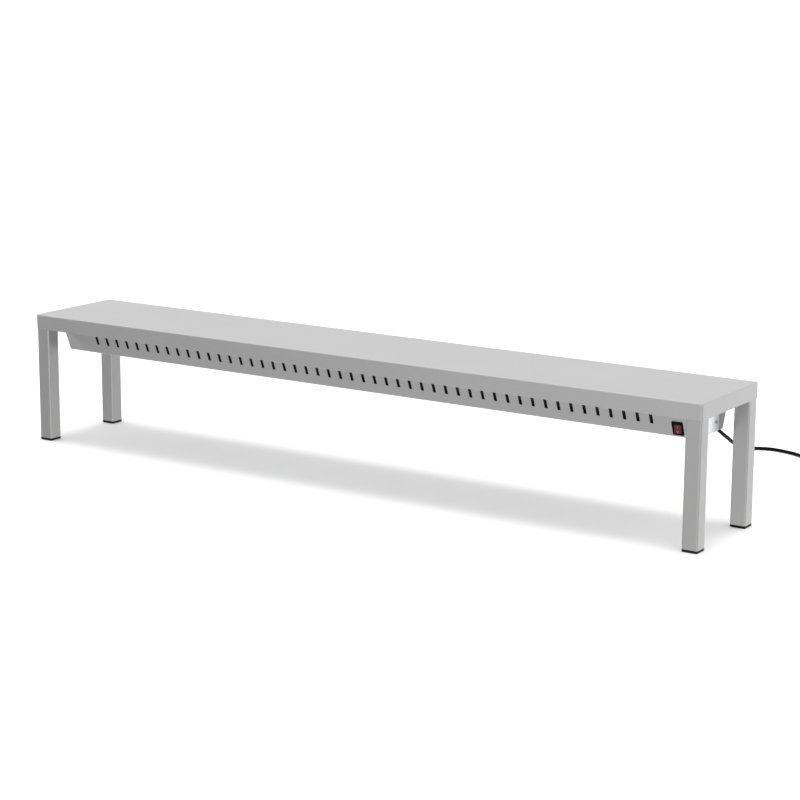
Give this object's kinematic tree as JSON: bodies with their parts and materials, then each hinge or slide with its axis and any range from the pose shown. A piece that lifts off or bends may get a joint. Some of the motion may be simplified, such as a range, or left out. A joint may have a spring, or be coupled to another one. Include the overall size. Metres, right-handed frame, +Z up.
{
  "type": "heat lamp warmer",
  "caption": "Long heated over-shelf: a folded steel shelf on four square legs with a slotted casing of quartz heat lamps below it, a rocker switch and a mains cord.",
  "frame": {"origin": "on the counter below the middle of the shelf", "axes": "+X along the shelf towards the switch and cord end, -Y towards the side with the switch, +Z up"},
  "size_m": [2.0174, 1.0417, 0.35],
  "materials": {
    "satin_steel": "fine satin grain along the sheet",
    "plain_steel": "mill finish",
    "bright_steel": "bright, nearly mirror",
    "zinc_steel": "zinc plated",
    "black_plastic": "fine matt grain",
    "red_lens": "glossy translucent red",
    "quartz": "clear polished",
    "heating_wire": "oxidised",
    "ceramic": "unglazed",
    "lead_sleeve": "braided glass sleeve",
    "cord_sheath": "smooth satin",
    "brass": "polished"
  },
  "bodies": {
    "shelf": {"shelf_tray": "satin_steel", "leg_front_left": "satin_steel", "leg_front_right": "satin_steel", "leg_rear_left": "satin_steel", "leg_rear_right": "satin_steel", "lamp_casing": "satin_steel", "leg_bracket_front_left": "plain_steel", "leg_bracket_front_right": "plain_steel", "leg_bracket_rear_left": "plain_steel", "leg_bracket_rear_right": "plain_steel", "channel_hanger_left": "plain_steel", "channel_hanger_right": "plain_steel", "end_bracket_left": "plain_steel", "end_bracket_right": "plain_steel", "wiring_partition": "plain_steel", "lamp_channel": "bright_steel", "end_plate_left": "bright_steel", "end_plate_right": "bright_steel", "reflector": "bright_steel", "lamp_guard_1": "bright_steel", "lamp_guard_2": "bright_steel", "lamp_guard_3": "bright_steel", "wiring_cover": "bright_steel", "end_screw_left_front": "zinc_steel", "end_screw_left_rear": "zinc_steel", "end_screw_right_front": "zinc_steel", "end_screw_right_rear": "zinc_steel", "foot_front_left": "black_plastic", "foot_front_right": "black_plastic", "foot_rear_left": "black_plastic", "foot_rear_right": "black_plastic", "switch_housing": "black_plastic", "gland_nut": "black_plastic", "cord_tie": "black_plastic", "plug_body": "black_plastic", "quartz_tube_1": "quartz", "quartz_tube_2": "quartz", "quartz_tube_3": "quartz", "heating_coil_1": "heating_wire", "heating_coil_2": "heating_wire", "heating_coil_3": "heating_wire", "lamp_holder_1_left": "ceramic", "lamp_holder_1_right": "ceramic", "lamp_holder_2_left": "ceramic", "lamp_holder_2_right": "ceramic", "lamp_holder_3_left": "ceramic", "lamp_holder_3_right": "ceramic", "terminal_block": "ceramic", "lamp_lead_front": "lead_sleeve", "lamp_lead_rear": "lead_sleeve", "strain_relief": "cord_sheath", "cord_coil": "cord_sheath", "power_cord": "cord_sheath", "cord_tail": "cord_sheath", "switch_blade_upper": "brass", "switch_blade_middle": "brass", "switch_blade_lower": "brass", "plug_pin_left": "brass", "plug_pin_right": "brass"},
    "rocker": {"switch_rocker": "red_lens"}
  },
  "joints": [
    {"name": "switch_tilt", "type": "hinge", "parent": "shelf", "child": "rocker", "pos_m": [0.906, -0.07694, 0.26874], "axis": [1, 0, 0], "range_deg": [0, 24]}
  ]
}
